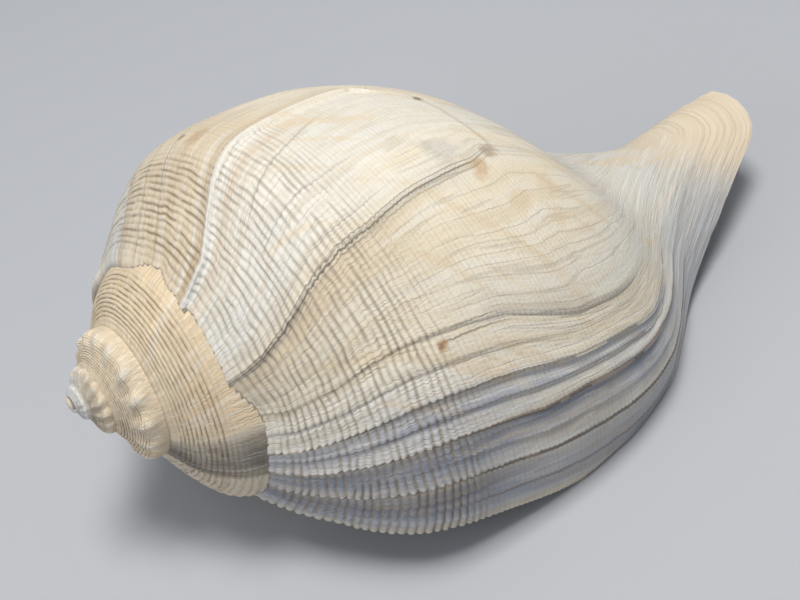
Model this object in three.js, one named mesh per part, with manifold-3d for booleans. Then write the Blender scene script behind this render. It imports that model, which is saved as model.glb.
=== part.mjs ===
// A fossil whelk shell, resting on its aperture side.
// Millimetres, +Z up, +X from the apex towards the end of the siphonal canal.
// The shell is one tube wound about its coiling axis. A turn is counted back from the outer lip,
// and a share runs across the tube's sheet, from the suture (0) to the edge of the canal (1).
import * as THREE from 'three';
import { mergeVertices } from 'three/addons/utils/BufferGeometryUtils.js';
import Module from 'manifold-3d';

// Growth: every whorl is this many times as large as the whorl before it.
const WHORL_GROWTH = 1.97;
const WHORLS = 4.3;
const LIP_ANGLE = 211;
const WALL = 2.6;

// The outer lip, from the suture to the end of the canal:
// radius from the coiling axis, distance along it from the apex, and sweep back in degrees.
const LIP = [
  [20.6, 29.4, -17],
  [26.3, 27.3, -15],
  [37.8, 33.8, -1],
  [48.2, 44.8, 9],
  [51.3, 60.3, 10],
  [51.2, 82.8, 7],
  [43.8, 103.8, 6],
  [24, 123, 14],
  [12, 140, 45],
  [8.5, 149.5, 90],
  [12.5, 150, 165],
];

// The shell is a little wider or longer than even growth gives: turn, extra girth, extra rise.
const UNEVEN_GROWTH = [
  [0, 1, 1],
  [0.35, 0.98, 0.94],
  [0.65, 1.12, 0.92],
  [0.88, 1.04, 0.96],
  [1.12, 1.08, 0.99],
  [1.6, 1.05, 0.99],
  [6, 1.02, 1],
];

// The edge of the last whorl wanders where it laps over the whorl before it:
// turn, shift away from the apex in millimetres. The shift dies out across these shares.
const EDGE_WAVE = [
  [0, -0.6],
  [0.03, 0.8],
  [0.08, 1.2],
  [0.15, 2.2],
  [0.2, 0],
  [0.29, 0.5],
  [0.33, 0.7],
  [0.36, 1.8],
  [0.43, 0.6],
  [0.53, 1.8],
  [0.57, -0.4],
  [0.65, 0],
];
const EDGE_SHARES = [0.1, 0.22];

// The canal bends away from the coiling axis, sideways and up, from here to its end.
const BEND_START = 43;
const BEND_END = 150;
const BEND_SIDE = -7.7;
const BEND_UP = 4;

// Growth pauses: turn, height of the old lip that was left standing, and how far back it fades.
const LEDGES = [
  { turn: 0.307, height: 1.3, fade: 0.05 },
  { turn: 0.203, height: 1.4, fade: 0.06 },
  { turn: 0.137, height: 0.7, fade: 0.03 },
  { turn: 0.1, height: 0.8, fade: 0.02 },
  { turn: 0.073, height: 0.9, fade: 0.018 },
  { turn: 0.043, height: 0.9, fade: 0.02 },
  { turn: 0.02, height: 0.6, fade: 0.01 },
];
// A ledge rises and dies out between these shares, and its foot is this far ahead of its head.
const LEDGE_RISES = [0.05, 0.15];
const LEDGE_DIES = [0.6, 0.9];
const LEDGE_FOOT = 0.002;

// Knobs along the shoulder of the early whorls.
const KNOBS_PER_WHORL = 13;
const KNOB_HEIGHT = 0.035;
const KNOB_TURNS = [1.55, 2.05];
const KNOB_SHARE = 0.26;
const KNOB_WIDTH = 0.13;

// The columella is a smooth pillar on the coiling axis. It starts as the round button at the apex.
// Distance along the axis, radius.
const COLUMELLA = [
  [0.8, 0.5],
  [1.1, 1.1],
  [1.7, 1.6],
  [2.6, 1.8],
  [3.6, 1.6],
  [5, 1],
  [10, 1.4],
  [40, 4],
  [80, 6.5],
  [105, 7],
  [118, 5],
  [124, 2],
];
const COLUMELLA_SIDES = 20;

// How deep the aperture is hollowed, and how far the cut runs past the lip and the canal's end.
const HOLLOW_TURNS = 0.7;
const CUT_PAST_LIP = 0.02;
const CUT_PAST_CANAL = 0.05;

// How finely the sheet and the cut are drawn.
const SHEET = { rowsPerWhorl: 30, columns: 30 };
const CUT = { rowsPerWhorl: 22, columns: 24 };

// The wedges that the solid is joined from end at a thin core, which the columella fills.
const WEDGES_PER_WHORL = 2.5;
const CORE = 2;
const CUT_CORE = 1;

// The pose in which the shell rests, in degrees, and the place of the apex.
// At this height the surface would reach a little below the ground, where it is worn flat.
const REST_PITCH = 13.4;
const REST_ROLL = 3.4;
const APEX = new THREE.Vector3(-75, 6.2, 40.3);
const LENGTH = 150;

const FULL_TURN = 360;
const SLOPE_STEP = 0.002;
const NEAR_EDGE = 0.99;
const rad = THREE.MathUtils.degToRad;
const ease = THREE.MathUtils.smoothstep;

const wasm = await Module();
wasm.setup();

const lipCurve = new THREE.CatmullRomCurve3(
  LIP.map(([radius, along, sweep]) => new THREE.Vector3(radius, along, sweep)),
  false,
  'catmullrom',
  0.5,
);

// The lip at a share. Beyond the canal's edge it runs straight on.
function lipAt(share) {
  const inside = Math.min(share, 1);
  const point = lipCurve.getPoint(inside);
  if (share > 1) {
    const slope = point.clone().sub(lipCurve.getPoint(1 - SLOPE_STEP)).divideScalar(SLOPE_STEP);
    point.addScaledVector(slope, share - 1);
  }
  return { radius: point.x, along: point.y, sweep: point.z };
}

// Smooth values between the rows of a table whose first column is the turn.
function lookUp(table, turn, column) {
  const last = table.length - 1;
  const at = THREE.MathUtils.clamp(turn, table[0][0], table[last][0]);
  let row = 0;
  while (row < last - 1 && at > table[row + 1][0]) {
    row += 1;
  }
  const [start, end] = [table[row], table[row + 1]];
  return THREE.MathUtils.lerp(start[column], end[column], ease(at, start[0], end[0]));
}

function sizeAt(turn) {
  const even = WHORL_GROWTH ** -turn;
  return {
    girth: even * lookUp(UNEVEN_GROWTH, turn, 1),
    rise: even * lookUp(UNEVEN_GROWTH, turn, 2),
  };
}

function ledgeHeight(turn, share) {
  let height = 0;
  for (const ledge of LEDGES) {
    if (turn >= ledge.turn) {
      height += ledge.height * Math.exp((ledge.turn - turn) / ledge.fade);
    }
  }
  return height * ease(share, ...LEDGE_RISES) * (1 - ease(share, ...LEDGE_DIES));
}

function knobHeight(turn, share) {
  const wave = (1 + Math.cos(2 * Math.PI * KNOBS_PER_WHORL * turn)) / 2;
  const across = Math.exp(-(((share - KNOB_SHARE) / KNOB_WIDTH) ** 2));
  return KNOB_HEIGHT * lipAt(share).radius * sizeAt(turn).girth * wave * across * ease(turn, ...KNOB_TURNS);
}

// How far the surface stands out from the plain tube, in millimetres.
const relief = (turn, share) => ledgeHeight(turn, share) + knobHeight(turn, share);

// A point of the plain tube, about the straight coiling axis along X.
function tubeAt(turn, share) {
  const lip = lipAt(share);
  const { girth, rise } = sizeAt(turn);
  const wave = lookUp(EDGE_WAVE, turn, 1) * (1 - ease(share, ...EDGE_SHARES));
  return {
    radius: lip.radius * girth,
    along: lip.along * rise + wave,
    angle: rad(LIP_ANGLE - FULL_TURN * turn - lip.sweep),
  };
}

function tubePoint(turn, share) {
  const { radius, along, angle } = tubeAt(turn, share);
  return new THREE.Vector3(along, radius * Math.cos(angle), radius * Math.sin(angle));
}

function tubeNormal(turn, share) {
  const across = Math.min(share, NEAR_EDGE);
  const along = tubePoint(turn, across + SLOPE_STEP).sub(tubePoint(turn, Math.max(across - SLOPE_STEP, 0)));
  const back = tubePoint(turn + SLOPE_STEP, across).sub(tubePoint(turn - SLOPE_STEP, across));
  return along.cross(back).normalize();
}

const offset = (turn, share, height) =>
  tubePoint(turn, share).addScaledVector(tubeNormal(turn, share), height);
const outerPoint = (turn, share) => offset(turn, share, relief(turn, share));
const innerPoint = (turn, share) => offset(turn, share, -WALL);

function toSolid(positions, triangles) {
  return new wasm.Manifold(
    new wasm.Mesh({
      numProp: 3,
      vertProperties: new Float32Array(positions),
      triVerts: new Uint32Array(triangles),
    }),
  );
}

// A wedge of the filled tube: its sheet of points, closed to a thin core about the axis.
// Wedges that follow each other share an end face, point for point.
function wedge(pointAt, turns, shares, core) {
  const columns = shares.length;
  const sheetSize = turns.length * columns;
  const sheet = [];
  const strip = [];
  for (const turn of turns) {
    for (const share of shares) {
      const { radius, along, angle } = tubeAt(turn, share);
      const coreRadius = core * (radius / lipAt(share).radius);
      sheet.push(...pointAt(turn, share).toArray());
      strip.push(along, coreRadius * Math.cos(angle), coreRadius * Math.sin(angle));
    }
  }
  const triangles = [];
  const quad = (a, b, c, d) => triangles.push(a, b, c, a, c, d);
  const outer = (row, column) => row * columns + column;
  const foot = (row, column) => sheetSize + outer(row, column);
  const lastRow = turns.length - 1;
  const lastColumn = columns - 1;
  for (let row = 0; row < lastRow; row += 1) {
    for (let column = 0; column < lastColumn; column += 1) {
      quad(outer(row, column), outer(row, column + 1), outer(row + 1, column + 1), outer(row + 1, column));
      quad(foot(row, column), foot(row + 1, column), foot(row + 1, column + 1), foot(row, column + 1));
    }
    quad(outer(row, 0), outer(row + 1, 0), foot(row + 1, 0), foot(row, 0));
    quad(outer(row + 1, lastColumn), outer(row, lastColumn), foot(row, lastColumn), foot(row + 1, lastColumn));
  }
  for (let column = 0; column < lastColumn; column += 1) {
    quad(outer(0, column), foot(0, column), foot(0, column + 1), outer(0, column + 1));
    quad(outer(lastRow, column), outer(lastRow, column + 1), foot(lastRow, column + 1), foot(lastRow, column));
  }
  return toSolid([...sheet, ...strip], triangles);
}

function evenSteps(from, to, count) {
  return Array.from({ length: count + 1 }, (_, index) => from + ((to - from) * index) / count);
}

// The turns at which a stretch of the shell has points, with two at the foot and head of a ledge.
function turnsOf(from, to, perWhorl) {
  const turns = evenSteps(from, to, Math.max(2, Math.round((to - from) * perWhorl)));
  const ledges = LEDGES.map((ledge) => ledge.turn).filter(
    (turn) => turn - 2 * LEDGE_FOOT > from && turn + 2 * LEDGE_FOOT < to,
  );
  const free = turns.filter((turn, index) => {
    const isEnd = index === 0 || index === turns.length - 1;
    return isEnd || ledges.every((ledge) => Math.abs(turn - ledge) > 3 * LEDGE_FOOT);
  });
  for (const ledge of ledges) {
    free.push(ledge - LEDGE_FOOT, ledge);
  }
  return free.sort((a, b) => a - b);
}

function wedges(pointAt, from, to, { rowsPerWhorl, columns }, lastShare, core) {
  const shares = evenSteps(0, lastShare, columns);
  const bounds = evenSteps(from, to, Math.ceil((to - from) * WEDGES_PER_WHORL));
  return bounds.slice(1).map((bound, index) => {
    const turns = turnsOf(bounds[index], bound, rowsPerWhorl);
    return wedge(pointAt, turns, shares, core);
  });
}

const join = (solids) => solids.reduce((sum, solid) => sum.add(solid));

function columella() {
  const positions = [];
  const triangles = [];
  const sides = COLUMELLA_SIDES;
  const rings = COLUMELLA.length;
  positions.push(COLUMELLA[0][0], 0, 0);
  for (const [along, radius] of COLUMELLA) {
    for (let side = 0; side < sides; side += 1) {
      const angle = (2 * Math.PI * side) / sides;
      positions.push(along, radius * Math.cos(angle), radius * Math.sin(angle));
    }
  }
  positions.push(COLUMELLA[rings - 1][0], 0, 0);
  const at = (ring, side) => 1 + ring * sides + (side % sides);
  const end = 1 + rings * sides;
  for (let side = 0; side < sides; side += 1) {
    triangles.push(0, at(0, side + 1), at(0, side));
    triangles.push(end, at(rings - 1, side), at(rings - 1, side + 1));
    for (let ring = 0; ring < rings - 1; ring += 1) {
      triangles.push(at(ring, side), at(ring, side + 1), at(ring + 1, side + 1));
      triangles.push(at(ring, side), at(ring + 1, side + 1), at(ring + 1, side));
    }
  }
  return toSolid(positions, triangles);
}

const older = join(wedges(outerPoint, 1, WHORLS, SHEET, 1, CORE));
const body = join(wedges(outerPoint, 0, 1, SHEET, 1, CORE));
const pillar = columella();
const filled = older.add(body).add(pillar);
const hollow = join(
  wedges(innerPoint, -CUT_PAST_LIP, HOLLOW_TURNS, CUT, 1 + CUT_PAST_CANAL, CUT_CORE),
);
const straight = filled.subtract(hollow.subtract(older).subtract(pillar));

// The bend of the canal, then the pose at rest.
function pose(point) {
  const bent = Math.max(0, (point.x - BEND_START) / (BEND_END - BEND_START)) ** 2;
  point.y += BEND_SIDE * bent;
  point.z += BEND_UP * bent;
  point.applyAxisAngle(new THREE.Vector3(1, 0, 0), rad(REST_ROLL));
  point.applyAxisAngle(new THREE.Vector3(0, 1, 0), rad(REST_PITCH));
  return point.add(APEX);
}

// What lies below the ground is worn away, which leaves small flats to rest on.
function ground() {
  const box = new THREE.BoxGeometry(2 * LENGTH, 2 * LENGTH, LENGTH);
  box.translate(0, 0, -LENGTH / 2);
  box.deleteAttribute('normal');
  box.deleteAttribute('uv');
  const merged = mergeVertices(box);
  return toSolid(merged.getAttribute('position').array, merged.index.array);
}

function posed(solid) {
  const mesh = solid.getMesh();
  const positions = [];
  for (let at = 0; at < mesh.vertProperties.length; at += 3) {
    positions.push(...pose(new THREE.Vector3().fromArray(mesh.vertProperties, at)).toArray());
  }
  return toSolid(positions, mesh.triVerts);
}

// The joins leave a few crumbs the size of dust beside the shell, which are dropped.
const largest = (solid) => solid.decompose().sort((a, b) => b.volume() - a.volume())[0];

const rested = largest(posed(straight).subtract(ground()));
const mesh = rested.getMesh();
const geometry = new THREE.BufferGeometry();
geometry.setAttribute('position', new THREE.BufferAttribute(Float32Array.from(mesh.vertProperties), 3));
geometry.setIndex(new THREE.BufferAttribute(Uint32Array.from(mesh.triVerts), 1));

const shell = new THREE.Mesh(
  geometry,
  new THREE.MeshStandardMaterial({ color: 0xcdbfa6, roughness: 0.75, metalness: 0 }),
);
shell.name = 'shell';

const whelk = new THREE.Group();
whelk.add(shell);
export default whelk;
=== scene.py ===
"""The looks of a fossil whelk shell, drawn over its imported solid."""

import math

import bpy
import numpy as np
from mathutils import Matrix, Vector, kdtree


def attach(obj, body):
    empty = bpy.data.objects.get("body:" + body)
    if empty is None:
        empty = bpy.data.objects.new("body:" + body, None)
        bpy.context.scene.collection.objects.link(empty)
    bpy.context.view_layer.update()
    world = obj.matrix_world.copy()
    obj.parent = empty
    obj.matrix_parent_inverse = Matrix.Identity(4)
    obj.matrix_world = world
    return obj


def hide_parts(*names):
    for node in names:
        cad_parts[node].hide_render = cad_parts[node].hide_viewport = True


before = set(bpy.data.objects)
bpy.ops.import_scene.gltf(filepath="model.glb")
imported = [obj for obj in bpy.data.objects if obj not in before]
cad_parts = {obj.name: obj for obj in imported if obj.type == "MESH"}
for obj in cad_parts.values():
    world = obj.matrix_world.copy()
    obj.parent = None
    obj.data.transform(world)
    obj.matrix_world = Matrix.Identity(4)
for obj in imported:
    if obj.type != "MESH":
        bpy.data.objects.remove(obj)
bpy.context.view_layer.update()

MM_PER_M = 1000

# The shell, in millimetres: the solid's shape with a finer apex and finer relief.
# A turn is counted back from the outer lip, and a share runs from the suture to the canal's edge.
WHORL_GROWTH = 1.97
WHORLS = 5.2
LIP_ANGLE = 211

# The outer lip: radius from the coiling axis, distance along it, and sweep back in degrees.
LIP = [
    (20.6, 29.4, -17),
    (26.3, 27.3, -15),
    (37.8, 33.8, -1),
    (48.2, 44.8, 9),
    (51.3, 60.3, 10),
    (51.2, 82.8, 7),
    (43.8, 103.8, 6),
    (24, 123, 14),
    (12, 140, 45),
    (8.5, 149.5, 90),
    (12.5, 150, 165),
]

# Turn, extra girth, extra rise.
UNEVEN_GROWTH = [
    (0, 1, 1),
    (0.35, 0.98, 0.94),
    (0.65, 1.12, 0.92),
    (0.88, 1.04, 0.96),
    (1.12, 1.08, 0.99),
    (1.6, 1.05, 0.99),
    (6, 1.02, 1),
]

# The wandering edge of the last whorl: turn, shift away from the apex.
EDGE_WAVE = [
    (0, -2.2),
    (0.03, -0.8),
    (0.08, -0.4),
    (0.15, 0.6),
    (0.2, -1.5),
    (0.29, -1),
    (0.33, -1.1),
    (0.36, 0),
    (0.43, -1.6),
    (0.53, -0.4),
    (0.57, -1.8),
    (0.65, -1),
    (0.9, 0),
    (1.1, 0.9),
    (1.5, 1),
    (1.8, 0),
]
EDGE_SHARES = (0.1, 0.22)

# The wall, thinner at the lip: thickness there, thickness elsewhere, turns of the change.
LIP_WALL = 1
WALL = 2.6
WALL_TURNS = (-0.01, 0.05)

# The canal bends away from the axis between these distances along it.
BEND_START = 43
BEND_END = 150
BEND_SIDE = -7.7
BEND_UP = 4

# The pillar about the axis: distance along it, radius.
COLUMELLA = [
    (0.8, 0.5),
    (1.1, 1.1),
    (1.7, 1.6),
    (2.6, 1.8),
    (3.6, 1.6),
    (5, 1),
    (10, 1.4),
    (40, 4),
    (80, 6.5),
    (105, 7),
    (118, 5),
    (124, 2),
]

# How the shell lies: pitch and roll in degrees, and where its apex is.
REST_PITCH = 13.4
REST_ROLL = 3.4
APEX = np.array([-75, 6.2, 40.3])

# Growth pauses: turn, height of the old lip left standing, how far back it fades, length where it ends.
LEDGES = [
    (0.303, 0.4, 0.007, 84),
    (0.3015, 0.25, 0.03, 84),
    (0.272, 0.15, 0.01, 60),
    (0.2062, 0.2, 0.003, 80),
    (0.2034, 0.45, 0.045, 82),
    (0.2006, 0.15, 0.003, 76),
    (0.137, 0.3, 0.02, 100),
    (0.118, 0.2, 0.01, 70),
    (0.1, 0.6, 0.015, 118),
    (0.087, 0.3, 0.01, 110),
    (0.073, 0.8, 0.014, 122),
    (0.058, 0.3, 0.008, 110),
    (0.043, 0.9, 0.02, 124),
    (0.03, 0.3, 0.006, 110),
    (0.02, 0.6, 0.01, 120),
    (0.009, 0.25, 0.004, 120),
]
LEDGE_FOOT = 0.0009
LEDGE_FADE = 14

# The youngest growth lies this much lower between its ledges.
YOUNG_HOLLOW = 0.6

# A smooth raised ridge along one old lip.
RIDGE_TURN = 0.3055
RIDGE_WIDTH = 0.0028
RIDGE_HEIGHT = 0.45

# How far some growth lines run ahead of their turn: length along the profile, shift in turns.
LINE_PATHS = [
    (0.075, [(60, 0), (70, 0.006), (95, 0.006), (105, 0)]),
    (0.1, [(85, 0), (95, -0.006), (160, -0.006)]),
    (0.137, [(0, 0.03), (14, 0.006), (25, 0), (60, 0), (75, -0.012), (160, -0.012)]),
    (
        0.203,
        [
            (4, 0.002),
            (9, -0.006),
            (16, -0.011),
            (24, -0.009),
            (36, -0.003),
            (45, 0.002),
            (58, 0.015),
            (69, 0.024),
            (75, 0.028),
            (81, 0.037),
            (95, 0.03),
            (110, 0.01),
            (130, 0),
        ],
    ),
    (
        0.307,
        [
            (5, -0.003),
            (17, -0.014),
            (29, 0),
            (40, 0.008),
            (60, 0.02),
            (72, 0.03),
            (86, 0.01),
            (110, 0),
        ],
    ),
]
LINES_START = 0
LINES_END = 0.42

# Spiral cords: distance between main cords on the ramp and on the flank, at the lip's size,
# and the lengths between which one passes into the other.
RAMP_PITCH = 3.0
FLANK_PITCH = 2.1
PITCH_CHANGE = (38, 54)
RAMP_START = 4.5
RAMP_END = 44
FLANK_END = 105
SHARE_PER_EXTRA_CORD = 0.01

# The older whorls have more cords to the same share of their profile.
OLD_CORDS = 1.5

# Height of the cords in millimetres at the lip's size: turn and height on the last whorl's ramp,
# then the younger of the older whorls, what the oldest have more, and the flank.
CORD_HEIGHTS = [(0, 0.5), (0.18, 0.46), (0.22, 0.36), (0.3, 0.34), (0.33, 0.5), (0.6, 0.55), (1, 0.75)]
OLD_CORD_HEIGHT = 0.75
OLDEST_CORD_GAIN = 0.35
FLANK_CORD_HEIGHT = 0.17

# Where the ramp's cords die out: turn, length along the profile.
CORD_ENDS = [
    (0, 50),
    (0.18, 50),
    (0.21, 44),
    (0.3, 40),
    (0.31, 32),
    (0.5, 32),
    (0.6, 44),
    (0.9, 46),
    (1.1, 38),
    (1.7, 30),
    (2, 22),
]

# Knobs round the early whorls, on a swollen band: lengths and widths along the profile.
KNOBS_PER_WHORL = 15
KNOB_HEIGHT = 0.1
KNOB_RADIUS = 45
KNOB_LENGTH = 30
KNOB_WIDTH = 7
KNOB_BAND_HEIGHT = 0.35
KNOB_BAND_LENGTH = 34
KNOB_BAND_WIDTH = 11
KNOB_TURNS = (1.62, 1.95)

# The thick rounded edge where each whorl lies against the one before.
EDGE_LENGTH = 6.5
EDGE_WIDTH = 3.2

# How the tube is built: turns that are hollow, radius at which a wedge stops short of the axis,
# wedges to a whorl, and the steps between rows as start, end and step in turns.
HOLLOW_TURNS = 0.7
CORE = 2
CUT_CORE = 1
WEDGES_PER_WHORL = 2.5
OVERLAP = 0.002
CUT_PAST_LIP = 0.02
CUT_PAST_CANAL = 5
CUT_COLUMNS = 90
CUT_ROWS_PER_WHORL = 110
ROW_STEPS = [
    (0, 0.16, 0.0026),
    (0.16, 0.47, 0.0037),
    (0.47, 1, 0.0102),
    (1, 1.6, 0.008),
    (1.6, 2.5, 0.0095),
    (2.5, 3.5, 0.0115),
    (3.5, 5, 0.02),
]
SHARP_ANGLE = 80

# Which sheet a point of the mesh belongs to.
OUTSIDE, INSIDE, PILLAR = 0, 1, 2


def smooth(x, low, high):
    """Rises smoothly from 0 at low to 1 at high."""
    t = np.clip((x - low) / (high - low), 0, 1)
    return t * t * (3 - 2 * t)


def fading(x, low, high):
    """Falls smoothly from 1 at low to 0 at high."""
    return 1 - smooth(x, low, high)


def hump(x, centre, width):
    return np.exp(-(((x - centre) / width) ** 2))


def noise(x, y, seed):
    """Smooth noise from -1 to 1, with features about one unit wide."""
    table = np.random.RandomState(seed).uniform(-1, 1, (256, 256))
    x, y = np.broadcast_arrays(x, y)
    i, j = np.floor(x).astype(int), np.floor(y).astype(int)
    u, v = x - i, y - j
    u, v = u * u * (3 - 2 * u), v * v * (3 - 2 * v)

    def at(column, row):
        return table[column % 256, row % 256]

    low = at(i, j) * (1 - u) + at(i + 1, j) * u
    high = at(i, j + 1) * (1 - u) + at(i + 1, j + 1) * u
    return low * (1 - v) + high * v


def between_rows(table, at):
    """A value between the rows of a table with two columns."""
    places, values = np.transpose(table)
    return np.interp(at, places, values)


def eased_between_rows(table, turn, column):
    rows = np.array(table, float)
    at = np.clip(turn, rows[0, 0], rows[-1, 0])
    row = np.clip(np.searchsorted(rows[:, 0], at) - 1, 0, len(rows) - 2)
    start, end = rows[row], rows[row + 1]
    ease = smooth(at, start[..., 0], end[..., 0])
    return start[..., column] * (1 - ease) + end[..., column] * ease


def lip_curve(share):
    """A smooth curve through the points of the lip."""
    points = np.array(LIP, float)
    ends = np.vstack([2 * points[0] - points[1], points, 2 * points[-1] - points[-2]])
    place = share * (len(points) - 1)
    row = np.clip(np.floor(place).astype(int), 0, len(points) - 2)
    t = (place - row)[..., None]
    before, start, end, after = (ends[row + step] for step in range(4))
    slope_in, slope_out = (end - before) / 2, (after - start) / 2
    square = (-3 * start + 3 * end - 2 * slope_in - slope_out) * t**2
    cube = (2 * start - 2 * end + slope_in + slope_out) * t**3
    return start + slope_in * t + square + cube


def lip_at(share):
    """The lip, which goes straight on past the canal's edge."""
    share = np.asarray(share, float)
    step = 0.002
    slope = (lip_curve(np.array(1.0)) - lip_curve(np.array(1 - step))) / step
    return lip_curve(np.clip(share, 0, 1)) + np.maximum(share - 1, 0)[..., None] * slope


def size_at(growth):
    return WHORL_GROWTH**-growth


def tube_parts(turn, share):
    """Radius from the axis, distance along it and angle round it, of points on the tube."""
    lip = lip_at(share)
    radius = lip[..., 0] * size_at(turn) * eased_between_rows(UNEVEN_GROWTH, turn, 1)
    along = lip[..., 1] * size_at(turn) * eased_between_rows(UNEVEN_GROWTH, turn, 2)
    along = along + eased_between_rows(EDGE_WAVE, turn, 1) * fading(share, *EDGE_SHARES)
    return radius, along, np.radians(LIP_ANGLE - 360 * turn - lip[..., 2])


def around(radius, along, angle):
    return np.stack([along, radius * np.cos(angle), radius * np.sin(angle)], -1)


def tube_point(turn, share):
    return around(*tube_parts(turn, share))


def tube_normal(turn, share):
    step = 0.002
    share = np.clip(share, step, 0.99)
    across = tube_point(turn, share + step) - tube_point(turn, share - step)
    back = tube_point(turn + step, share) - tube_point(turn - step, share)
    normal = np.cross(across, back)
    return normal / np.linalg.norm(normal, axis=-1, keepdims=True)


# The profile's length from the suture, and the number of cords up to it, for each share.
FINE_SHARES = np.linspace(0, 1, 2001)
profile = lip_at(FINE_SHARES)[:, :2]
LENGTHS = np.r_[0, np.cumsum(np.hypot(*np.diff(profile, axis=0).T))]
pitches = RAMP_PITCH + (FLANK_PITCH - RAMP_PITCH) * smooth(LENGTHS, *PITCH_CHANGE)
CORDS = np.r_[0, np.cumsum(np.diff(LENGTHS) / pitches[1:])]


def share_of(cord):
    inside = np.interp(cord, CORDS, FINE_SHARES)
    return inside + np.maximum(cord - CORDS[-1], 0) * SHARE_PER_EXTRA_CORD


def length_of(share):
    return np.interp(share, FINE_SHARES, LENGTHS)


def cord_at(length):
    return float(np.interp(length, LENGTHS, CORDS))


RAMP_START_CORD = math.floor(cord_at(RAMP_START))
RAMP_END_CORD = round(cord_at(RAMP_END))
FLANK_END_CORD = round(cord_at(FLANK_END))
LAST_CORD = CORDS[-1]


def line_shift(growth, length):
    """How far the growth lines lead or lag their turn."""
    turns = [LINES_START] + [turn for turn, _ in LINE_PATHS] + [LINES_END]
    shift = 0
    for index, (turn, path) in enumerate(LINE_PATHS, 1):
        before, after = turns[index - 1], turns[index + 1]
        weight = np.interp(growth, [before, turn, after], [0, 1, 0])
        shift = shift + weight * between_rows(path, length)
    return shift


def cord_crest(distance, width):
    return np.clip(1 - (distance / width) ** 2, 0, 1) ** 0.75


def cord_relief(growth, cord):
    """Height of the spiral cords, from 0 to 1, with a second cord between each two on the last whorl."""
    second = fading(growth, 0.35, 0.75)
    second = np.maximum(second, smooth(cord, RAMP_END_CORD - 2, RAMP_END_CORD + 2))
    to_main = np.abs(cord - np.round(cord))
    main = cord_crest(to_main, 0.36 - 0.11 * second)
    between = cord_crest(0.5 - to_main, 0.25) * second
    older = np.abs(cord * OLD_CORDS - np.round(cord * OLD_CORDS))
    last = np.maximum(main, between * (0.85 - 0.25 * smooth(growth, 0.3, 0.4)))
    return np.where(growth < 1, last, cord_crest(older, 0.4))


def cord_height(growth, length):
    """How strong the cords are, in millimetres."""
    last = between_rows(CORD_HEIGHTS, growth)
    older = OLD_CORD_HEIGHT + OLDEST_CORD_GAIN * smooth(growth, 1.6, 2)
    end = between_rows(CORD_ENDS, growth)
    start = smooth(length, 5.5, 12)
    ramp = np.where(growth < 1, last, older) * start * fading(length, end - 14, end + 4)
    flank = FLANK_CORD_HEIGHT * smooth(length, end - 14, end) * fading(length, 80, 112) * (growth < 1)
    return (ramp + flank) * size_at(growth)


def ledge_relief(growth, length):
    """Old lips left standing, each fading behind its edge."""
    height = 0
    for turn, rise, fade, end in LEDGES:
        back = growth - turn
        reach = smooth(length, 5, 12) * fading(length, end - LEDGE_FADE, end)
        height = height + np.where(back >= 0, rise * np.exp(-np.abs(back) / fade), 0) * reach
    lowered = YOUNG_HOLLOW * smooth(growth, 0, 0.03) * fading(growth, 0.1, 0.19)
    return height - lowered * smooth(length, 5, 12) * fading(length, 100, 130)


def knob_relief(growth, length):
    size = KNOB_RADIUS * size_at(growth)
    wave = (0.5 + 0.5 * np.cos(2 * np.pi * KNOBS_PER_WHORL * growth)) ** 1.6
    across = hump(length, KNOB_LENGTH, KNOB_WIDTH * (1 + 0.9 * smooth(growth, 2.5, 3)))
    band = KNOB_BAND_HEIGHT * hump(length, KNOB_BAND_LENGTH, KNOB_BAND_WIDTH)
    return KNOB_HEIGHT * size * (wave * across + band) * smooth(growth, *KNOB_TURNS)


def edge_relief(growth, length):
    height = (0.4 + 0.6 * smooth(growth, 0.02, 0.12)) * size_at(growth)
    return height * hump(length, EDGE_LENGTH, EDGE_WIDTH) * smooth(length, 0, 4)


def wave_relief(growth, cord, length):
    """Folds and wrinkles that follow the growth lines, strongest near the lip."""
    young = fading(growth, 0.1, 0.17)
    broad = noise(growth * 34, cord * 0.05, 5) * (0.22 + 0.2 * young)
    broad = broad * smooth(length, 18, 50) * fading(length, 120, 150) * fading(growth, 0.9, 1)
    fine = noise(growth * 150, cord * 0.18, 3) + 0.6 * noise(growth * 60, cord * 0.1, 4)
    crisp = np.abs(noise(growth * 210, cord * 0.35, 6))
    fine = 0.07 * fine + crisp * (0.05 + 0.12 * young)
    return (broad + fine * smooth(length, 6, 12) * fading(growth, 3.2, 3.6)) * size_at(growth)


def outer_sheet(growth, cord):
    """Points of the outer surface, with each cord wandering a little on its way."""
    calm = smooth(cord, RAMP_START_CORD, RAMP_START_CORD + 2) * (1 - smooth(growth, 1, 1.3) * 0.5)
    wander = 0.09 * noise(growth * 26, cord * 0.4, 1) + 0.085 * noise(growth * 95, cord * 0.9, 2)
    share = share_of(cord + wander * calm)
    length = length_of(share)
    turn = growth + line_shift(growth, length)
    strength = 0.85 + 0.25 * noise(growth * 60, cord * 0.3, 7)
    ridge = hump(growth, RIDGE_TURN, RIDGE_WIDTH) * fading(length, 70, 84)
    height = (cord_relief(growth, cord) - 0.5) * cord_height(growth, length) * strength * (1 - ridge)
    height = height + RIDGE_HEIGHT * ridge * smooth(length, 4, 9)
    height = height + ledge_relief(growth, length) + knob_relief(growth, length)
    height = height + edge_relief(growth, length) + wave_relief(growth, cord, length)
    return tube_point(turn, share) + tube_normal(turn, share) * height[..., None]


def inner_sheet(growth, cord):
    share = share_of(cord)
    wall = LIP_WALL + (WALL - LIP_WALL) * smooth(growth, *WALL_TURNS)
    return tube_point(growth, share) - tube_normal(growth, share) * wall[..., None]


def core_sheet(growth, cord, is_outer):
    """The foot of a wedge, close about the axis."""
    share = share_of(cord)
    turn = growth + line_shift(growth, length_of(share)) * is_outer
    radius, along, angle = tube_parts(turn, share)
    core = CORE if is_outer else CUT_CORE
    return around(core * size_at(growth) * np.ones_like(radius), along, angle)


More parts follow.
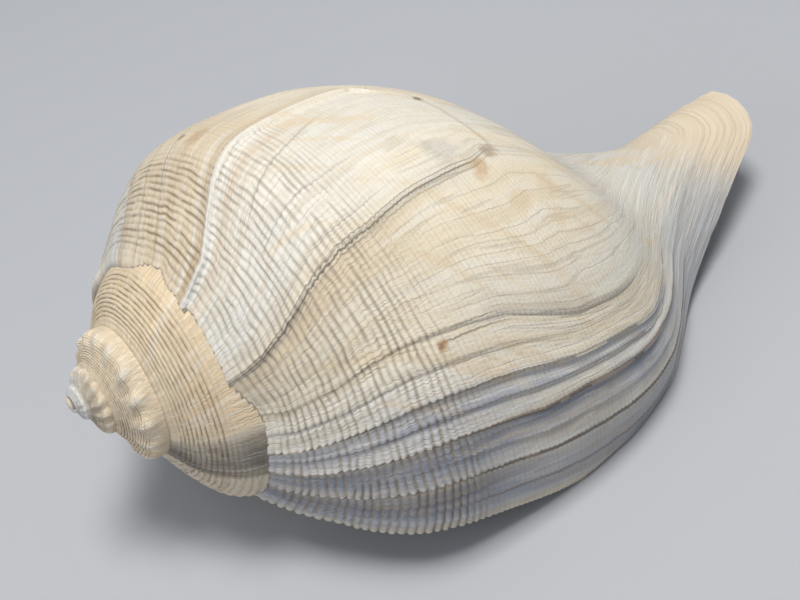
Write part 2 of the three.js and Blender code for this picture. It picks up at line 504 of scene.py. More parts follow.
def grid_faces(first, rows, columns):
    """Quads of a grid of points that are numbered row by row from first."""
    corner = first + np.arange(rows * columns).reshape(rows, columns)
    quads = [corner[:-1, :-1], corner[:-1, 1:], corner[1:, 1:], corner[1:, :-1]]
    return np.stack(quads, -1).reshape(-1, 4)


def strip_faces(first, second):
    """Quads between two rows of point numbers."""
    return np.stack([first[:-1], first[1:], second[1:], second[:-1]], -1)


def wedge(sheet, rows, columns):
    """A closed wedge of the tube: its sheet, closed to a thin core about the axis."""
    growth, cord = np.meshgrid(rows, columns, indexing="ij")
    outer = sheet(growth, cord)
    foot = core_sheet(growth, cord, sheet is outer_sheet)
    top = np.arange(growth.size).reshape(growth.shape)
    low = top + growth.size
    quads = [
        grid_faces(0, *growth.shape),
        grid_faces(growth.size, *growth.shape)[:, ::-1],
        strip_faces(top[:, 0], low[:, 0]),
        strip_faces(top[:, -1], low[:, -1])[:, ::-1],
        strip_faces(top[0], low[0])[:, [0, 3, 2, 1]],
        strip_faces(top[-1], low[-1]),
    ]
    points = np.vstack([outer.reshape(-1, 3), foot.reshape(-1, 3)])
    return points, np.vstack(quads), growth.ravel(), cord.ravel()


def triangles_of(quads):
    return np.vstack([quads[:, [0, 1, 2]], quads[:, [0, 2, 3]]])


def link(name, data):
    thing = bpy.data.objects.new(name, data)
    bpy.context.scene.collection.objects.link(thing)
    return thing


def make_object(name, points, triangles):
    mesh = bpy.data.meshes.new(name)
    mesh.vertices.add(len(points))
    mesh.vertices.foreach_set("co", points.astype(np.float32).ravel())
    mesh.loops.add(triangles.size)
    mesh.loops.foreach_set("vertex_index", triangles.astype(np.int32).ravel())
    mesh.polygons.add(len(triangles))
    mesh.polygons.foreach_set("loop_start", np.arange(0, triangles.size, 3, dtype=np.int32))
    mesh.update(calc_edges=True)
    return link(name, mesh)


def read_mesh(piece):
    """The points and triangles of an object."""
    mesh = piece.data
    points = np.empty(len(mesh.vertices) * 3, np.float32)
    mesh.vertices.foreach_get("co", points)
    mesh.calc_loop_triangles()
    triangles = np.empty(len(mesh.loop_triangles) * 3, np.int32)
    mesh.loop_triangles.foreach_get("vertices", triangles)
    return points.reshape(-1, 3).astype(float), triangles.reshape(-1, 3)


def combine(piece, others, operation):
    """Joins or cuts piece with the others, which are used up."""
    for other in others:
        modifier = piece.modifiers.new("combine", "BOOLEAN")
        modifier.solver = "MANIFOLD"
        modifier.operation = operation
        modifier.object = other
        other.hide_render = True
        depsgraph = bpy.context.evaluated_depsgraph_get()
        result = bpy.data.meshes.new_from_object(piece.evaluated_get(depsgraph))
        piece.modifiers.clear()
        old = piece.data
        piece.data = result
        bpy.data.meshes.remove(old)
        bpy.data.objects.remove(other)
    return piece


def rows_between(start, end):
    """Growth values of the rows: close together where the detail is finest, with two at each ledge."""
    rows = []
    for low, high, step in ROW_STEPS:
        low, high = max(low, start), min(high, end)
        if high > low:
            rows.extend(np.linspace(low, high, max(2, round((high - low) / step) + 1)))
    ledges = [turn for turn, *_ in LEDGES if start + 3 * LEDGE_FOOT < turn < end - 3 * LEDGE_FOOT]
    gap = 1.2 * LEDGE_FOOT
    rows = [row for row in rows if row in (start, end) or all(abs(row - turn) > gap for turn in ledges)]
    for turn in ledges:
        rows.extend([turn - LEDGE_FOOT, turn])
    return np.unique(np.round(rows, 9))


def cut_rows_between(start, end):
    return np.linspace(start, end, max(3, round((end - start) * CUT_ROWS_PER_WHORL)))


def columns_of(bands):
    """Cord numbers of the columns, from bands of start, end and step, up to the canal's edge."""
    columns = [np.arange(start, end, step) for start, end, step in bands]
    return np.r_[np.concatenate(columns), LAST_CORD]


def chain(name, sheet, start, end, columns, samples):
    """Wedges that follow each other from start to end, whose sheet points are kept in samples."""
    rows_of, layer = (rows_between, OUTSIDE) if sheet is outer_sheet else (cut_rows_between, INSIDE)
    count = math.ceil((end - start) * WEDGES_PER_WHORL - 0.001)
    bounds = np.round(np.linspace(start, end, count + 1), 9)
    pieces = []
    for low, high in zip(bounds[:-1], bounds[1:]):
        points, quads, growth, cord = wedge(sheet, rows_of(low, high), columns)
        pieces.append(make_object(name, points, triangles_of(quads)))
        layers = np.full(growth.size, layer)
        samples.append(np.column_stack([points[: growth.size], growth, cord, layers]))
    return combine(pieces[0], pieces[1:], "UNION")


def columella(samples, sides=48):
    """The round pillar about the axis."""
    angles = np.linspace(0, 2 * np.pi, sides, endpoint=False)
    rings = np.array(COLUMELLA, float)
    along = np.repeat(rings[:, 0], sides)
    radius = np.repeat(rings[:, 1], sides)
    angle = np.tile(angles, len(rings))
    points = np.vstack([[rings[0, 0], 0, 0], around(radius, along, angle), [rings[-1, 0], 0, 0]])
    number = 1 + np.arange(len(rings) * sides).reshape(len(rings), sides)
    beside = np.roll(number, -1, axis=1)
    a, b, c, d = number[:-1].ravel(), beside[:-1].ravel(), beside[1:].ravel(), number[1:].ravel()
    first = np.column_stack([np.zeros(sides, int), beside[0], number[0]])
    last = np.column_stack([np.full(sides, len(points) - 1), number[-1], beside[-1]])
    triangles = np.vstack([first, last, np.column_stack([a, b, c]), np.column_stack([a, c, d])])
    values = np.zeros((len(points), 2))
    samples.append(np.column_stack([points, values, np.full(len(points), PILLAR)]))
    return make_object("pillar", points, triangles)


def build_shell():
    """The whole shell as one mesh, and samples of its sheets: point, growth, cord, layer."""
    samples = []
    near_last = LAST_CORD - 0.3
    columns = columns_of(
        [
            (0, RAMP_START_CORD, 0.5),
            (RAMP_START_CORD, RAMP_END_CORD, 0.125),
            (RAMP_END_CORD, FLANK_END_CORD, 0.25),
            (FLANK_END_CORD, near_last, 0.5),
        ]
    )
    body = chain("body", outer_sheet, 0, 1, columns, samples)
    columns = columns_of(
        [
            (0, RAMP_START_CORD, 0.5),
            (RAMP_START_CORD, RAMP_END_CORD + 1, 1 / 6),
            (RAMP_END_CORD + 1, near_last, 1.5),
        ]
    )
    older = chain("older", outer_sheet, 1 - OVERLAP, WHORLS, columns, samples)
    columns = np.linspace(0, LAST_CORD + CUT_PAST_CANAL, CUT_COLUMNS)
    hollow = chain("hollow", inner_sheet, -CUT_PAST_LIP, HOLLOW_TURNS, columns, samples)
    pillar = columella(samples)
    for keep in (older, pillar):
        combine(hollow, [link("copy", keep.data.copy())], "DIFFERENCE")
    shell = combine(body, [older, pillar], "UNION")
    return combine(shell, [hollow], "DIFFERENCE"), np.vstack(samples)


def largest_part(points, triangles):
    """The points and triangles of the largest connected part."""
    label = np.arange(len(points))
    while True:
        low = label[triangles].min(axis=1)
        before = label.copy()
        for corner in range(3):
            np.minimum.at(label, triangles[:, corner], low)
        label = label[label]
        if np.array_equal(before, label):
            break
    keep = label == np.bincount(label).argmax()
    number = np.cumsum(keep) - 1
    return points[keep], number[triangles[keep[triangles].all(axis=1)]]


def welded(points, triangles):
    """The triangles once points that coincide are one, without any left flat or double."""
    _, first, number = np.unique(points, axis=0, return_index=True, return_inverse=True)
    triangles = first[number.ravel()][triangles]
    ordered = np.sort(triangles, axis=1)
    is_flat = (ordered[:, 0] == ordered[:, 1]) | (ordered[:, 1] == ordered[:, 2])
    triangles, ordered = triangles[~is_flat], ordered[~is_flat]
    _, first, count = np.unique(ordered, axis=0, return_index=True, return_counts=True)
    return triangles[np.sort(first[count == 1])]


def turn_about(axis, degrees, points):
    matrix = np.array(Matrix.Rotation(math.radians(degrees), 3, axis))
    return points @ matrix.T


def posed(points):
    """Points of the shell as it lies, with its canal bent and its lowest parts worn flat."""
    points = points.copy()
    bent = np.maximum(0, (points[:, 0] - BEND_START) / (BEND_END - BEND_START)) ** 2
    points[:, 1] += BEND_SIDE * bent
    points[:, 2] += BEND_UP * bent
    points = turn_about("Y", REST_PITCH, turn_about("X", REST_ROLL, points)) + APEX
    points[:, 2] = np.maximum(points[:, 2], 0)
    return points


def nearest_values(points, samples):
    """Growth, cord and layer of the sample that is nearest to each point."""
    tree = kdtree.KDTree(len(samples))
    for index, row in enumerate(samples[:, :3]):
        tree.insert(row, index)
    tree.balance()
    nearest = np.array([tree.find(point)[1] for point in points])
    return samples[nearest, 3:].T


def add_value(mesh, name, values):
    attribute = mesh.attributes.new(name, "FLOAT", "POINT")
    attribute.data.foreach_set("value", values.astype(np.float32))


raw, samples = build_shell()
points, triangles = largest_part(*read_mesh(raw))
bpy.data.objects.remove(raw)
triangles = welded((posed(points) / MM_PER_M).astype(np.float32), triangles)
points, triangles = largest_part(points, triangles)

shell = make_object("whelk_shell", posed(points) / MM_PER_M, triangles)
shell.data.polygons.foreach_set("use_smooth", np.ones(len(triangles), bool))
shell.data.set_sharp_from_angle(angle=math.radians(SHARP_ANGLE))
for name, values in zip(("growth", "cord", "layer"), nearest_values(points, samples)):
    add_value(shell.data, name, values)
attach(shell, "root")
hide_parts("shell")


CHALK = (0.68, 0.65, 0.57)
WHITE = (0.71, 0.69, 0.635)
# The apex's own white, painted brighter to stand for light on its left side.
APEX_WHITE = (0.95, 0.94, 0.91)
KNOB_WHITE = (0.88, 0.83, 0.74)
CREAM = (0.76, 0.68, 0.53)
KNOB_CREAM = (0.80, 0.64, 0.44)
TAN = (0.60, 0.49, 0.34)
STAIN_TAN = (0.66, 0.52, 0.34)
# Painted shade with a painted blue reflection.
GREY = (0.15, 0.165, 0.215)
# Pale grey with a painted blue reflection.
PALE_GREY = (0.36, 0.385, 0.44)
BROWN = (0.20, 0.145, 0.095)
RUST = (0.42, 0.23, 0.11)
# Dark brown of the growth-edge lines, partly painted shadow.
LINE_BROWN = (0.16, 0.12, 0.09)
# Painted shade along the suture, where each whorl's edge overhangs.
SUTURE_SHADE = (0.14, 0.10, 0.07)
CREASE_BROWN = (0.26, 0.19, 0.13)
CROSS_LINE = (0.40, 0.34, 0.26)
LONG_LINES = ((0.42, 0.36, 0.28), (0.84, 0.81, 0.72))

# The canal near the lip, further back and far back, and its tip.
CANAL_YOUNG = (0.50, 0.51, 0.53)
CANAL_OLDER = (0.60, 0.59, 0.55)
CANAL_BACK = (0.62, 0.57, 0.47)
CANAL_TIP = (0.68, 0.57, 0.42)

# Painted shade between the cords near the lip, further back, and behind the ridge.
GROOVE_SHADE_YOUNG = (0.36, 0.30, 0.23)
GROOVE_SHADE_OLDER = (0.42, 0.37, 0.30)
GROOVE_SHADE_OLDEST = (0.28, 0.20, 0.125)

# Inside the mouth, by turn, and the clean and stained pillar.
INSIDE_BANDS = [(0, (0.74, 0.68, 0.58)), (0.12, (0.70, 0.60, 0.47)), (0.7, (0.5, 0.4, 0.3))]
PILLAR_CLEAN = (0.74, 0.67, 0.55)
PILLAR_STAINED = (0.66, 0.55, 0.41)

# Colour bands along the growth of the shell: turn back from the lip, colour. The dark grey bands near the
# lip are painted shade with a painted blue reflection, and the pale grey ones carry a painted blue
# reflection.
RAMP_BANDS = [
    (0, (0.58, 0.53, 0.43)),
    (0.012, PALE_GREY),
    (0.03, GREY),
    (0.042, (0.50, 0.47, 0.42)),
    (0.05, PALE_GREY),
    (0.064, GREY),
    (0.073, (0.58, 0.56, 0.53)),
    (0.09, PALE_GREY),
    (0.102, (0.66, 0.64, 0.60)),
    (0.135, CREAM),
    (0.16, (0.70, 0.63, 0.49)),
    (0.198, TAN),
    (0.203, CREAM),
    (0.215, CHALK),
    (0.235, WHITE),
    (0.28, CHALK),
    (0.289, (0.62, 0.51, 0.40)),
    (0.296, CHALK),
    (0.301, WHITE),
    (0.3075, WHITE),
    (0.309, (0.50, 0.38, 0.24)),
    (0.316, (0.54, 0.42, 0.27)),
    (0.32, (0.64, 0.55, 0.41)),
    (0.37, TAN),
    (0.43, (0.62, 0.54, 0.41)),
    (0.446, (0.50, 0.40, 0.28)),
    (0.451, (0.60, 0.60, 0.58)),
    (0.55, (0.60, 0.58, 0.53)),
    (0.62, (0.68, 0.61, 0.48)),
    (0.8, (0.70, 0.63, 0.51)),
    (1, (0.60, 0.52, 0.40)),
]
# Here too the dark grey bands near the lip are painted shade with a painted blue reflection.
FLANK_BANDS = [
    (0, CREAM),
    (0.012, PALE_GREY),
    (0.03, (0.5, 0.5, 0.52)),
    (0.043, CHALK),
    (0.06, PALE_GREY),
    (0.071, GREY),
    (0.076, CHALK),
    (0.088, PALE_GREY),
    (0.1, (0.64, 0.62, 0.58)),
    (0.104, CREAM),
    (0.13, (0.68, 0.60, 0.46)),
    (0.142, CHALK),
    (0.165, CREAM),
    (0.2, (0.72, 0.63, 0.47)),
    (0.206, CHALK),
    (0.225, CREAM),
    (0.24, CHALK),
    (0.29, CHALK),
    (0.305, CREAM),
    (0.315, (0.66, 0.58, 0.44)),
    (0.36, CREAM),
    (0.45, (0.70, 0.65, 0.54)),
    (1, (0.68, 0.61, 0.49)),
]

# Colour bands of the older whorls: turn back from one whorl behind the lip, colour.
SPIRE_SPAN = 3.4
SPIRE_BANDS = [
    # The dark bands up to 0.066 are painted shade on the older whorl beside the lip.
    (0, (0.12, 0.095, 0.07)),
    (0.03, (0.06, 0.055, 0.055)),
    (0.05, (0.19, 0.16, 0.13)),
    (0.066, (0.20, 0.18, 0.16)),
    (0.074, CREAM),
    (0.085, (0.68, 0.53, 0.35)),
    (0.3, (0.70, 0.55, 0.36)),
    (0.7, (0.64, 0.50, 0.34)),
    (1.1, (0.76, 0.61, 0.42)),
    (1.9, (0.62, 0.51, 0.37)),
    (2.25, (0.74, 0.66, 0.53)),
    (2.5, (0.80, 0.78, 0.73)),
    (SPIRE_SPAN, APEX_WHITE),
]

# Fine dark lines along old growth edges, partly the shell's own dark lines and partly painted shadow below
# the steps: turn, slant per cord, half width in turns, strength, lengths where they start and end.
DARK_LINES = [
    (0.2057, 0, 0.0003, 0.6, 4, 86),
    (0.2029, 0, 0.00045, 0.75, 4, 88),
    (0.2001, 0, 0.0003, 0.35, 4, 82),
    (0.2145, 0, 0.0004, 0.3, 4, 60),
    (0.249, 0.0017, 0.0006, 0.35, 26, 62),
    (0.127, 0.0002, 0.0004, 0.7, 44, 66),
    (0.248, -0.0003, 0.0006, 0.3, 24, 60),
    (0.3105, 0, 0.0005, 0.35, 6, 84),
    (0.38, 0, 0.0007, 0.35, 6, 60),
    (0.41, 0, 0.0006, 0.4, 6, 60),
    (0.448, 0, 0.0008, 0.4, 6, 60),
    (0.137, 0, 0.0004, 0.25, 20, 95),
    (0.118, 0, 0.0004, 0.3, 4, 70),
    (0.1, 0, 0.0007, 0.6, 4, 118),
    (0.087, 0, 0.0005, 0.45, 4, 110),
    (0.0725, 0, 0.0009, 0.8, 4, 122),
    (0.0425, 0, 0.001, 0.85, 4, 124),
    (0.0195, 0, 0.0006, 0.5, 4, 120),
]

# A faint crease along the flank: its length along the profile.
CREASE_LENGTH = 84

# Marks on the surface: turn, length along the profile, radius in mm, colour, strength.
MARKS = [
    (0.129, 45.9, 1.3, RUST, 0.8),
    (0.1285, 45.6, 0.6, BROWN, 0.9),
    (0.357, 37.8, 2.6, (0.45, 0.29, 0.17), 0.5),
    (0.379, 37.4, 1.0, BROWN, 0.7),
    (0.246, 71.1, 3.4, (0.40, 0.39, 0.37), 0.36),
    (0.252, 69, 1.6, (0.36, 0.35, 0.34), 0.3),
    (0.229, 76, 1.9, (0.50, 0.33, 0.17), 0.6),
    (0.222, 74, 1.5, (0.55, 0.38, 0.22), 0.45),
    (0.2, 78, 2.6, (0.60, 0.44, 0.27), 0.4),
    (0.208, 88, 2.8, (0.60, 0.45, 0.28), 0.4),
    (0.185, 84, 2.4, (0.62, 0.47, 0.30), 0.35),
    (0.311, 84.3, 1.1, BROWN, 0.8),
    (0.241, 81.6, 1.8, (0.3, 0.22, 0.14), 0.6),
]

SPECULAR = 0.32
BUMP_STRENGTH = 0.9


class Graph:
    """Short calls that add nodes to a material."""

    def __init__(self, name):
        self.material = bpy.data.materials.new(name)
        self.material.use_nodes = True
        self.tree = self.material.node_tree
        self.shader = self.tree.nodes["Principled BSDF"]

    def put(self, socket, value):
        if isinstance(value, bpy.types.NodeSocket):
            self.tree.links.new(value, socket)
        elif isinstance(value, tuple) and len(value) == 3 and len(socket.default_value) == 4:
            socket.default_value = (*value, 1)
        else:
            socket.default_value = value

    def attribute(self, name):
        node = self.tree.nodes.new("ShaderNodeAttribute")
        node.attribute_name = name
        return node.outputs["Fac"]

    def math(self, operation, *values):
        node = self.tree.nodes.new("ShaderNodeMath")
        node.operation = operation
        for socket, value in zip(node.inputs, values):
            self.put(socket, value)
        return node.outputs[0]

    def times(self, product, *factors):
        for factor in factors:
            product = self.math("MULTIPLY", product, factor)
        return product

    def minus(self, first, second):
        return self.math("SUBTRACT", first, second)

    def added(self, value, factor, base):
        """The value times a factor, on top of a base."""
        return self.math("MULTIPLY_ADD", value, factor, base)

    def distance(self, value, centre):
        return self.math("ABSOLUTE", self.minus(value, centre))

    def range(self, value, low, high, out_low=0.0, out_high=1.0):
        node = self.tree.nodes.new("ShaderNodeMapRange")
        node.interpolation_type = "SMOOTHSTEP"
        for socket, item in zip(node.inputs, (value, low, high, out_low, out_high)):
            self.put(socket, item)
        return node.outputs[0]

    def vector(self, x, y):
        node = self.tree.nodes.new("ShaderNodeCombineXYZ")
        self.put(node.inputs[0], x)
        self.put(node.inputs[1], y)
        return node.outputs[0]

    def noise(self, vector, scale, detail):
        node = self.tree.nodes.new("ShaderNodeTexNoise")
        self.put(node.inputs["Vector"], vector)
        self.put(node.inputs["Scale"], scale)
        self.put(node.inputs["Detail"], detail)
        return node.outputs["Fac"]

    def mix(self, factor, first, second):
        node = self.tree.nodes.new("ShaderNodeMix")
        node.data_type = "RGBA"
        for index, item in ((0, factor), (6, first), (7, second)):
            self.put(node.inputs[index], item)
        return node.outputs[2]

    def ramp(self, value, stops):
        node = self.tree.nodes.new("ShaderNodeValToRGB")
        self.put(node.inputs[0], value)
        elements = node.color_ramp.elements
        elements[0].position, elements[0].color = stops[0][0], (*stops[0][1], 1)
        elements[1].position, elements[1].color = stops[-1][0], (*stops[-1][1], 1)
        for place, colour in stops[1:-1]:
            elements.new(place).color = (*colour, 1)
        return node.outputs["Color"]


class ShellGraph(Graph):
    """The shell's material: each step takes the colour so far and gives the next one."""

    def __init__(self, name):
        super().__init__(name)
        self.growth = self.attribute("growth")
        self.cord = self.attribute("cord")
        self.layer = self.attribute("layer")
        self.place = self.tree.nodes.new("ShaderNodeTexCoord").outputs["Object"]
        self.line = self.wavering_growth()
        self.blotch = self.cells(self.growth, 9.0, 0.12, 3.0)
        self.streak = self.cells(self.line, 170.0, 0.06, 4.0)
        self.shown = self.by_length(96, 124, 1.0, 0.45)
        self.cross = self.times(self.threads(250.0, 0.22, 1.5, 0.07), self.by_length(58, 34))
        self.long_line = self.times(self.threads(110.0, 0.035, 2.5, 0.035), self.by_length(34, 58))
        # How much painted shade each groove between the cords gets.
        self.groove_shade = self.groove_shade_mask()

    def by_length(self, start, end, low=0.0, high=1.0):
        """From low to high between two lengths along the profile."""
        return self.range(self.cord, cord_at(start), cord_at(end), low, high)

    def by_turn(self, start, end, low=0.0, high=1.0):
        """From low to high between two turns back from the lip."""
        return self.range(self.growth, start, end, low, high)

    def by_ragged_length(self, start, end, raggedness, shift, high=1.0):
        """From 0 to high between two lengths, with a border that wanders by some cords."""
        ragged = self.added(self.blotch, raggedness, self.cord)
        return self.range(ragged, cord_at(start) + shift, cord_at(end) + shift, 0.0, high)

    def cells(self, along, turns, cords, detail=2.0):
        """Noise that is stretched along the growth lines."""
        return self.noise(self.vector(self.times(along, turns), self.times(self.cord, cords)), 1.0, detail)

    def threads(self, turns, cords, detail, half_width):
        """Thin lines where such a noise passes its middle."""
        level = self.cells(self.line, turns, cords, detail)
        return self.range(self.distance(level, 0.5), half_width, 0.0)

    def wavering_growth(self):
        """The growth, wavering a little from cord to cord."""
        fine = self.times(self.cells(self.growth, 9.0, 5.0), 0.5)
        waver = self.math("ADD", self.cells(self.growth, 14.0, 1.7), fine)
        waver = self.times(waver, self.by_length(60, 36, 0.35, 1.0))
        return self.added(waver, 0.0035, self.minus(self.growth, 0.0026))

    def last_whorl(self):
        """Colour bands of the last whorl, with its canal and the canal's tip."""
        soft_line = self.added(self.blotch, 0.02, self.minus(self.line, 0.01))
        on_ramp = self.ramp(self.line, RAMP_BANDS)
        on_flank = self.ramp(soft_line, FLANK_BANDS)
        colour = self.mix(self.by_ragged_length(38, 62, 6.0, 3), on_ramp, on_flank)
        canal = self.mix(self.by_turn(0.0, 0.12), CANAL_YOUNG, CANAL_OLDER)
        canal = self.mix(self.by_turn(0.3, 0.36), canal, CANAL_BACK)
        colour = self.mix(self.by_ragged_length(88, 122, 8.0, 4, 0.85), colour, canal)
        return self.mix(self.by_ragged_length(138, 156, 5.0, 0), colour, CANAL_TIP)

    def older_whorls(self):
        """Colour bands of the older whorls, with paler knobs."""
        place = self.math("DIVIDE", self.minus(self.line, 1.0), SPIRE_SPAN)
        colour = self.ramp(place, [(turn / SPIRE_SPAN, tint) for turn, tint in SPIRE_BANDS])
        band = self.times(self.by_length(20, 27), self.by_turn(1.95, 2.0))
        colour = self.mix(band, colour, KNOB_CREAM)
        crest = self.math("COSINE", self.times(self.growth, 2 * math.pi * KNOBS_PER_WHORL))
        crest = self.range(crest, 0.25, 0.95)
        crest = self.times(crest, self.by_length(21, 27), self.by_length(38, 33), self.by_turn(1.7, 2.0))
        return self.mix(self.times(crest, 0.7), colour, KNOB_WHITE)

    def streaked(self, colour):
        """Streaks along the growth lines, stains that lie across them, and soft clouds."""
        tan = self.times(self.shown, self.range(self.streak, 0.46, 0.66, 0.0, 0.4))
        colour = self.mix(tan, colour, TAN)
        white = self.times(self.shown, self.range(self.streak, 0.50, 0.34, 0.0, 0.42))
        colour = self.mix(white, colour, WHITE)
        # Less stain and cloud near the lip, so the bands of painted shade there stay grey.
        worn = self.by_turn(0.07, 0.12, 0.12, 1.0)
        slant = self.cells(self.added(self.cord, 0.35, self.times(self.line, 60.0)), 1.0, 0.08)
        stain = self.times(self.range(slant, 0.54, 0.66, 0.0, 0.55), self.by_length(12, 30), worn)
        colour = self.mix(stain, colour, STAIN_TAN)
        cloud = self.range(self.noise(self.place, 55.0, 4.0), 0.40, 0.66, 0.0, 0.3)
        return self.mix(self.times(cloud, worn), colour, CREAM)

    def lined(self, colour):
        """Thin growth lines across the cords, and long dark or pale ones on the flank."""
        colour = self.mix(self.times(self.cross, 0.18), colour, CROSS_LINE)
        pale = self.minus(1.0, self.range(self.blotch, 0.4, 0.52))
        tint = self.mix(pale, *LONG_LINES)
        return self.mix(self.times(self.long_line, 0.34), colour, tint)

    def between_cords(self, cords, half_width):
        """The grooves between cords, of which there are so many to each main one."""
        place = self.math("FRACT", self.times(self.cord, cords))
        return self.range(self.distance(place, 0.5), half_width, 0.02)

    def groove_shade_mask(self):
        """How much painted shade the grooves between the cords get, from 0 to 1."""
        last = self.by_turn(0.75, 0.35)
        older = self.times(self.between_cords(OLD_CORDS, 0.26), self.minus(1.0, last))
        groove = self.math("MAXIMUM", self.times(self.between_cords(2.0, 0.30), last), older)
        panel = self.math("MAXIMUM", self.by_turn(0.312, 0.309), self.by_length(35, 28, 0.1, 1.0))
        on_last = self.math("MINIMUM", self.by_length(52, 38, 0.24, 1.0), panel)
        on_older = self.math("MAXIMUM", self.by_turn(1.0, 0.99), self.by_length(38, 28))
        reach = self.times(self.by_length(7, 14), on_last, on_older, self.by_length(112, 85))
        patchy = self.range(self.cells(self.growth, 45.0, 1.0, 3.0), 0.36, 0.6, 0.2, 1.0)
        to_ridge = self.distance(self.growth, RIDGE_TURN)
        off_ridge = self.range(to_ridge, RIDGE_WIDTH * 0.7, RIDGE_WIDTH * 1.5)
        return self.times(groove, reach, patchy, off_ridge)

    # Paints shade into the grooves between the cords.
    def groove_shaded(self, colour):
        groove_shade = self.mix(self.by_turn(0.19, 0.21), GROOVE_SHADE_YOUNG, GROOVE_SHADE_OLDER)
        groove_shade = self.mix(self.by_turn(0.3, 0.32), groove_shade, GROOVE_SHADE_OLDEST)
        return self.mix(self.times(self.groove_shade, 0.8), colour, groove_shade)

    def edged(self, colour):
        """Dark lines at old growth edges, partly painted shadow below the steps."""
        for turn, slant, half, strength, start, end in DARK_LINES:
            near = self.distance(self.added(self.cord, -slant, self.line), turn)
            seen = self.range(near, half * 2.2, half * 0.4, 0.0, strength)
            seen = self.times(seen, self.by_length(end, end - 14), self.by_length(start, start + 4))
            colour = self.mix(seen, colour, LINE_BROWN)
        return colour

    def creased(self, colour):
        """The faint crease, the white apex, painted brighter than its own white, and painted shade along
        the suture.
        """
        crease = self.added(self.blotch, 1.6, self.minus(self.cord, cord_at(CREASE_LENGTH) + 0.8))
        crease = self.range(self.math("ABSOLUTE", crease), 0.5, 0.1, 0.0, 0.26)
        crease = self.times(crease, self.by_turn(0.2, 0.206), self.by_turn(0.315, 0.3))
        colour = self.mix(crease, colour, CREASE_BROWN)
        # The white apex, painted brighter than its own white.
        colour = self.mix(self.by_turn(3.2, 3.8, 0.0, 0.8), colour, APEX_WHITE)
        # Painted shade along the suture.
        return self.mix(self.range(self.cord, 2.5, 1.4, 0.0, 0.8), colour, SUTURE_SHADE)

    def marked(self, colour):
        """Small round marks with ragged edges."""
        for turn, length, radius, tint, strength in MARKS:
            share = np.interp(length, LENGTHS, FINE_SHARES)
            radius = radius / MM_PER_M
            away = self.tree.nodes.new("ShaderNodeVectorMath")
            away.operation = "DISTANCE"
            self.put(away.inputs[0], self.place)
            spot = posed(tube_point(np.array([turn]), np.array([share])))[0]
            away.inputs[1].default_value = spot / MM_PER_M
            edge = self.added(self.noise(self.place, 900.0, 2.0), radius, away.outputs["Value"])
            colour = self.mix(self.range(edge, radius * 1.7, radius * 0.9, 0.0, strength), colour, tint)
        return colour

    def lined_inside(self, colour):
        """The smooth cream inside of the mouth, darker in its depth, and the pillar."""
        inside = self.ramp(self.growth, INSIDE_BANDS)
        stained = self.range(self.noise(self.place, 120.0, 3.0), 0.35, 0.65)
        pillar = self.mix(stained, PILLAR_CLEAN, PILLAR_STAINED)
        colour = self.mix(self.range(self.layer, 0.4, 0.6), colour, inside)
        return self.mix(self.range(self.layer, 1.4, 1.6), colour, pillar)

    def roughness(self):
        rough = self.range(self.noise(self.place, 300.0, 3.0), 0.3, 0.7, 0.62, 0.86)
        return self.times(rough, self.range(self.layer, 0.4, 0.6, 1.0, 0.62))

    def relief(self):
        """Fine relief in millimetres: growth lines, grain, streaks, grooves."""
        height = self.times(self.noise(self.place, 1800.0, 3.0), 0.10)
        height = self.added(self.cells(self.line, 420.0, 0.5, 3.0), 0.16, height)
        height = self.added(self.streak, self.times(self.shown, 0.10), height)
        for value, rise in ((self.groove_shade, -0.16), (self.cross, -0.08), (self.long_line, -0.05)):
            height = self.added(value, rise, height)
        return self.times(height, self.range(self.layer, 0.4, 0.6, 1.0, 0.25))


def shell_material():
    graph = ShellGraph("fossil_shell")
    is_older = graph.math("GREATER_THAN", graph.growth, 1.0)
    colour = graph.mix(is_older, graph.last_whorl(), graph.older_whorls())
    steps = (
        graph.streaked,
        graph.lined,
        graph.groove_shaded,
        graph.edged,
        graph.creased,
        graph.marked,
        graph.lined_inside,
    )
    for step in steps:
        colour = step(colour)
    bump = graph.tree.nodes.new("ShaderNodeBump")
    bump.inputs["Distance"].default_value = 1 / MM_PER_M
    bump.inputs["Strength"].default_value = BUMP_STRENGTH
    graph.put(bump.inputs["Height"], graph.relief())
    graph.put(graph.shader.inputs["Base Color"], colour)
    graph.put(graph.shader.inputs["Roughness"], graph.roughness())
    graph.put(graph.shader.inputs["Normal"], bump.outputs["Normal"])
    graph.shader.inputs["Specular IOR Level"].default_value = SPECULAR
    return graph.material


shell.data.materials.append(shell_material())

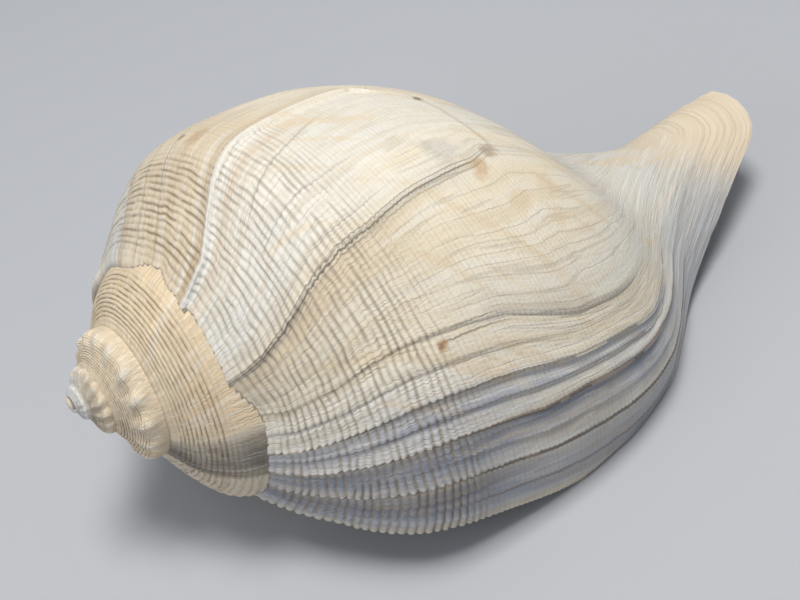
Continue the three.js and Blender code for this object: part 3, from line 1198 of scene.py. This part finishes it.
# The camera looks from the photograph's viewpoint.
CAMERA_PLACE = (-0.08717, -0.17987, 0.20237)
CAMERA_RIGHT = (0.8026, -0.5548, -0.2194)
CAMERA_UP = (0.5243, 0.4804, 0.7031)
CAMERA_FORWARD = (0.2847, 0.6793, -0.6764)
CAMERA_LENS = 62.726
SENSOR_WIDTH = 36
FLOOR_REACH = 3
FLOOR_COLOUR = (0.42, 0.43, 0.45, 1)
FLOOR_ROUGHNESS = 0.9
SKY_COLOUR = (0.8, 0.85, 0.95, 1)
SKY_STRENGTH = 0.37

camera_data = bpy.data.cameras.new("camera")
camera_data.lens = CAMERA_LENS
camera_data.sensor_width = SENSOR_WIDTH
camera_data.clip_start = 0.01
camera = link("camera", camera_data)
axes = Matrix((Vector(CAMERA_RIGHT), Vector(CAMERA_UP), -Vector(CAMERA_FORWARD)))
camera.matrix_world = Matrix.Translation(Vector(CAMERA_PLACE)) @ axes.transposed().to_4x4()
bpy.context.scene.camera = camera


def light(name, place, size, power, colour):
    data = bpy.data.lights.new(name, "AREA")
    data.size = size
    data.energy = power
    data.color = colour
    lamp = link(name, data)
    lamp.location = place
    lamp.rotation_euler = (-Vector(place)).to_track_quat("-Z", "Y").to_euler()


light("key", (0.0, -0.12, 0.92), 0.3, 7.8, (1, 0.985, 0.955))
light("fill", (-0.75, -0.15, 0.4), 0.5, 1.6, (0.95, 0.97, 1))

floor_mesh = bpy.data.meshes.new("floor")
floor_corners = [(x * FLOOR_REACH, y * FLOOR_REACH, 0) for x, y in ((-1, -1), (1, -1), (1, 1), (-1, 1))]
floor_mesh.from_pydata(floor_corners, [], [(0, 1, 2, 3)])
floor = link("floor", floor_mesh)
floor_material = bpy.data.materials.new("floor")
floor_material.use_nodes = True
floor_shader = floor_material.node_tree.nodes["Principled BSDF"]
floor_shader.inputs["Base Color"].default_value = FLOOR_COLOUR
floor_shader.inputs["Roughness"].default_value = FLOOR_ROUGHNESS
floor_mesh.materials.append(floor_material)

world = bpy.data.worlds.new("world")
world.use_nodes = True
sky = world.node_tree.nodes["Background"]
sky.inputs["Color"].default_value = SKY_COLOUR
sky.inputs["Strength"].default_value = SKY_STRENGTH
bpy.context.scene.world = world
bpy.context.scene.view_settings.view_transform = "Standard"
